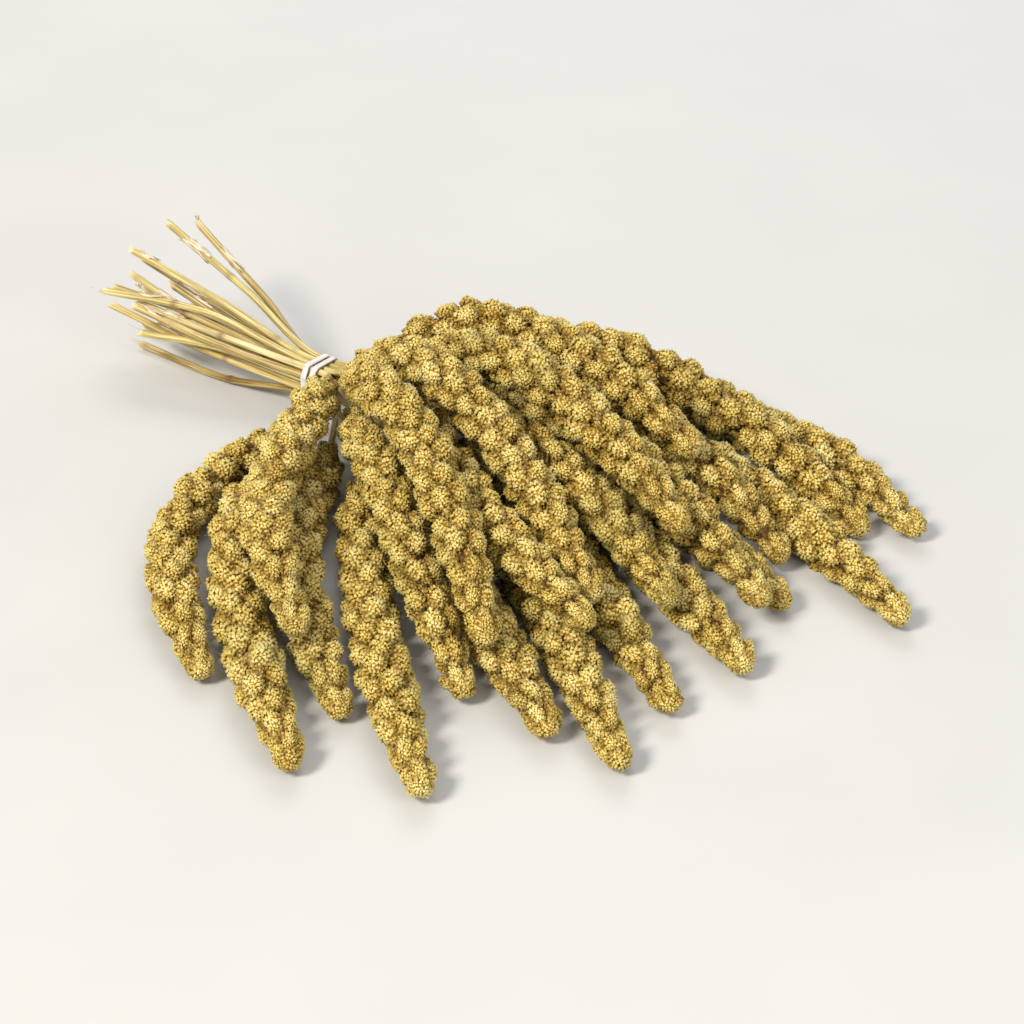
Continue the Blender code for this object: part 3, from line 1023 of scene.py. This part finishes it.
@dataclass
class ElasticBand:
    """The white elastic band, wound twice round the stems. Its path repeats that of its solid."""

    finishes: Sequence[Material]
    node: str = "tie"
    stem_rows: tuple[int, ...] = (4, 5, 4, 5, 4)
    stem_pitch: float = 3.7 * MM
    stem_radius: float = 1.7 * MM
    gap: float = 0.3 * MM
    width: float = 2.95 * MM
    thickness: float = 1.1 * MM
    roundness: float = 0.75
    offset: float = 1.6 * MM
    crossing: float = radians(215)
    crossing_half: float = 0.45
    lift_half: float = 0.5
    parting: float = 0.55 * MM
    sway: float = 0.25 * MM
    steps: int = 176
    section: int = 12

    def place(self, turn: float) -> tuple[float, float]:
        """How far the band is to one side, from -1 to 1, and lifted, from 0 to 1, after a turn."""
        wrapped = (turn + tau) % (2 * tau) - tau
        past = min(abs(wrapped), tau - abs(wrapped))
        side = 2 * smooth((past / self.crossing_half + 1) / 2) - 1
        beyond = tau - abs(wrapped) - self.crossing_half
        return copysign(side, wrapped), 1 - smooth(beyond / self.lift_half)

    def outline(self, angle: float, offset: float) -> Vector:
        """Point of the stems' common outline, set out by an offset, that faces an angle."""
        facing_way = Vector((cos(angle), sin(angle)))
        across, up = self.stem_pitch, self.stem_pitch * sqrt(3) / 2
        top = (len(self.stem_rows) - 1) / 2
        slots = [
            Vector(((k - (count - 1) / 2) * across, (row - top) * up))
            for row, count in enumerate(self.stem_rows)
            for k in range(count)
        ]
        return max(slots, key=facing_way.dot) + facing_way * (self.stem_radius + offset)

    def build(self) -> Object:
        """Spins the band's section into a ring, winds the ring round the stems, and returns it."""
        low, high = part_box(self.node)
        middle = (low + high) / 2
        shape = bmesh.new()
        skin = shape.verts.layers.float_vector.new("skin")
        away = Matrix.Translation((1, 0, 0)) @ Matrix.Rotation(pi / 2, 4, "X")
        ring = bmesh.ops.create_circle(shape, segments=self.section, radius=0.25, matrix=away)
        bmesh.ops.spin(
            shape,
            geom=ring["verts"] + shape.edges[:],
            cent=(0, 0, 0),
            axis=(0, 0, 1),
            angle=tau,
            steps=self.steps,
            use_merge=True,
        )
        for vert in shape.verts:
            turn = 2 * atan2(vert.co.y, vert.co.x)
            corner = atan2(vert.co.z, hypot(vert.co.x, vert.co.y) - 1)
            side, lift = self.place(turn)
            angle = turn + self.crossing
            inside = self.gap + self.thickness / 2 + lift * (self.gap + self.thickness)
            outward = inside + self.rounded(cos(corner)) * self.thickness / 2
            parted = self.parting * max(0.0, sin(angle - 0.5)) ** 2
            x = side * (self.offset + parted) + self.rounded(sin(corner)) * self.width / 2
            x += self.sway * sin(1.5 * turn + 1)
            y, z = self.outline(angle, outward)
            vert[skin] = (x, 6 * MM * turn, outward)
            vert.co = (middle.x + x, middle.y + y, middle.z + z)
        bmesh.ops.recalc_face_normals(shape, faces=shape.faces)
        return add_piece("elastic_band", shape, self.finishes, [self.node])

    def rounded(self, share: float) -> float:
        """Draws a circle's coordinate out towards a flat band with soft edges."""
        return copysign(abs(share) ** self.roundness, share)


@dataclass
class SheathScraps:
    """Torn scraps of dead leaf sheath on the straws behind the band, and their loose fibres."""

    straws: Sequence[Straw]
    finishes: Sequence[Material]
    count: int = 14
    columns: int = 9
    rows: int = 8
    length: float = 19 * MM
    clearance: float = 0.12 * MM
    flare: float = 0.7 * MM
    skin: float = 0.12 * MM
    curled: int = 2
    curl_turns: float = 1.3
    curl_length: float = 13 * MM
    fibres: int = 14
    fibre: float = 0.22 * MM
    fibre_steps: int = 5
    floor_gap: float = 0.2 * MM

    def build(self) -> Object:
        """Wraps each scrap round a straw, adds the curled tips and the fibres, as one piece."""
        rng = Random(31)
        shape = bmesh.new()
        shape.verts.layers.float_vector.new("skin")
        high = sorted(self.straws, key=lambda straw: -straw.route[0].z)
        for k in range(self.count):
            self.add_scrap(shape, high[k], rng)
        for k in range(self.curled):
            self.add_curl(shape, high[2 + 3 * k], rng)
        bmesh.ops.recalc_face_normals(shape, faces=shape.faces)
        bmesh.ops.solidify(shape, geom=shape.faces[:], thickness=self.skin)
        for k in range(self.fibres):
            self.add_fibre(shape, self.straws[(5 * k) % len(self.straws)], rng)
        keep_off_floor(shape, self.floor_gap)
        return add_piece("leaf_sheath_scraps", shape, self.finishes)

    def add_scrap(self, shape: BMesh, straw: Straw, rng: Random) -> None:
        """Bends one strip round a straw. Its ends are torn into teeth that stand off the straw."""
        skin = shape.verts.layers.float_vector["skin"]
        route = Route(tuple(straw.route))
        share = rng.uniform(0.08, 0.5)
        length = self.length * rng.uniform(0.6, 1.4)
        wrap = rng.uniform(1.2, 3.4)
        turn = rng.uniform(-0.6, 0.6) + pi / 2
        torn, begun, flares = (
            [rng.uniform(low, high) for _ in range(self.columns)]
            for low, high in ((0.45, 1.0), (0.0, 0.3), (0.0, self.flare))
        )
        reach = (straw.route[1] - straw.route[0]).length
        last = self.columns - 1
        made = bmesh.ops.create_grid(shape, x_segments=last, y_segments=self.rows, size=1.0)
        for vert in made["verts"]:
            around, along = vert.co.x, (vert.co.y + 1) / 2
            column = round((around + 1) / 2 * last)
            begin, end = begun[column], torn[column]
            distance = length * (begin + (end - begin) * along)
            place, direction = route.between(0, min(share + distance / reach, 1.0))
            up, beside = sides_of(direction)
            angle = turn + wrap * around / 2
            lift = smooth(abs(along - 0.5) * 4 - 1) * flares[column]
            radius = straw.radii[0] * 1.06 + self.clearance + lift
            vert.co = place + (beside * cos(angle) + up * sin(angle)) * radius
            vert[skin] = (around * 3 * MM, radius, along * length)

    def add_curl(self, shape: BMesh, straw: Straw, rng: Random) -> None:
        """Adds a torn strip of the straw's skin that curls up from its cut end."""
        skin = shape.verts.layers.float_vector["skin"]
        place, ahead = Route(tuple(straw.route)).between(0, 0.0)
        up, beside = sides_of(ahead)
        made = bmesh.ops.create_grid(shape, x_segments=2, y_segments=16, size=1.0)
        lean = rng.uniform(-0.5, 0.5)
        for vert in made["verts"]:
            across, along = vert.co.x, (vert.co.y + 1) / 2
            turn = tau * self.curl_turns * along**1.4
            radius = self.curl_length / tau / self.curl_turns * (1 - 0.45 * along)
            forth = -radius * sin(turn) - 0.25 * self.curl_length * along
            height = straw.radii[0] * 0.9 + radius * (1 - cos(turn))
            side = across * (0.9 - 0.6 * along) * MM + lean * along * 4 * MM
            vert.co = place + ahead * forth + up * height + beside * side
            vert[skin] = (across * 1.5 * MM, height, along * self.curl_length)

    def add_fibre(self, shape: BMesh, straw: Straw, rng: Random) -> None:
        """Adds a loose fibre, a thin bent hair that hangs on behind a cut end."""
        skin = shape.verts.layers.float_vector["skin"]
        place, ahead = Route(tuple(straw.route)).between(0, rng.uniform(0.0, 0.12))
        spread = Vector((0, rng.uniform(-0.5, 0.5), rng.uniform(-0.15, 0.35)))
        back = (spread - ahead).normalized()
        bend = Vector((0, rng.uniform(-1, 1), rng.uniform(-1, 0.6))) * 3 * MM
        length = rng.uniform(5, 13) * MM
        start = place + back.cross(ahead).normalized() * straw.radii[0] * 0.8
        turned = Matrix.Translation(start) @ facing(back)
        made = bmesh.ops.create_circle(
            shape, cap_ends=True, segments=3, radius=self.fibre, matrix=turned
        )
        edges = list({edge for vert in made["verts"] for edge in vert.link_edges})
        for step in range(1, self.fibre_steps + 1):
            share = step / self.fibre_steps
            edges, ring = extruded(shape, edges)
            middle = middle_of([vert.co for vert in ring])
            goal = start + back * length * share + bend * share**2
            for vert in ring:
                vert.co = goal + (vert.co - middle) * (0.9 if share < 1 else 0.3)
                vert[skin] = (0.0, 0.0, length * share)
        bmesh.ops.holes_fill(shape, edges=edges, sides=0)


@dataclass(frozen=True)
class SoftBox:
    """One square soft light."""

    name: str
    place: tuple[float, float, float]
    size: float
    power: float
    colour: str

    def build(self, aim: Vector) -> None:
        """Hangs the light, turned to its aim."""
        data = bpy.data.lights.new(self.name, "AREA")
        data.size, data.energy = self.size, self.power
        data.color = linear(self.colour)[:3]
        light = put_in_scene(self.name, data)
        light.location = self.place
        way = aim - Vector(self.place)
        light.rotation_euler = way.to_track_quat("-Z", "Y").to_euler()


@dataclass
class Studio:
    """The pale floor, the soft lights and the camera at the photograph's viewing angle."""

    azimuth: float = radians(37)
    elevation: float = radians(29)
    distance: float = 1.25
    lens: float = 108.0
    aim: Vector = field(default_factory=lambda: Vector((0.040, 0.027, 0.012)))
    floor_half: float = 4.0
    lights: tuple[SoftBox, ...] = (
        SoftBox("key", (-0.2, -2.8, 2.6), 1.0, 158, "#fffaf0"),
        SoftBox("fill", (1.4, -0.5, 0.8), 1.1, 10, "#f8f9ff"),
        SoftBox("rim", (-0.7, 1.1, 1.2), 0.9, 11, "#ffffff"),
    )
    sky: str = "#f4f4f2"
    sky_strength: float = 0.5

    def build(self) -> None:
        """Makes the floor, the camera, the lights and the world."""
        self.add_floor()
        self.add_camera()
        for light in self.lights:
            light.build(self.aim)
        world = bpy.data.worlds.new("soft_white_room")
        world.use_nodes = True
        sky = world.node_tree.nodes["Background"]
        sky.inputs["Color"].default_value = linear(self.sky)
        sky.inputs["Strength"].default_value = self.sky_strength
        bpy.context.scene.world = world
        bpy.context.scene.view_settings.view_transform = "Standard"

    def add_floor(self) -> None:
        """Lays a wide board at z = 0."""
        shape = bmesh.new()
        bmesh.ops.create_grid(shape, x_segments=1, y_segments=1, size=self.floor_half)
        mesh = mesh_of("floor", shape)
        mesh.materials.append(PaintedBoard().material())
        floor = put_in_scene("floor", mesh)

    def add_camera(self) -> None:
        """Sets up the camera, turned to its aim."""
        back = Vector((0, -cos(self.elevation), sin(self.elevation)))
        back.rotate(Matrix.Rotation(self.azimuth, 3, "Z"))
        data = bpy.data.cameras.new("camera")
        data.lens = self.lens
        camera = put_in_scene("camera", data)
        camera.location = self.aim + back * self.distance
        camera.rotation_euler = (-back).to_track_quat("-Z", "Y").to_euler()
        bpy.context.scene.camera = camera


def main() -> None:
    """Builds the pieces in order."""
    logging.basicConfig(level=logging.INFO, format="%(name)s: %(message)s")
    Studio().build()
    straw = [DryStraw().material()]
    heads = [MilletHusk().material(), SpikeBract().material(), Bristle().material()]
    clusters = [SeedCluster(seed).build() for seed in range(8)]
    knobs = [
        SeedCluster(
            seed,
            grains=15,
            half=Vector((3.3, 3.8, 3.0)) * MM,
            grain=1.0 * MM,
            cap=radians(95),
            knobs=1,
            bristles=0,
            core=(4, 2),
            # A lower light gives the knobs, sunk between the clusters, more painted shade
            light=0.68,
        ).build()
        for seed in range(20, 24)
    ]
    straws = [Straw(number, straw) for number in range(1, 23)]
    for stem in straws:
        stem.build()
        SeedHead(stem.number, stem.route[-1], clusters, knobs, heads).build()
    ElasticBand([WhiteElastic().material()]).build()
    SheathScraps(straws, [SheathScrap().material()]).build()
    for cluster in clusters + knobs:
        bpy.data.meshes.remove(cluster.mesh)


if __name__ == "__main__":
    main()
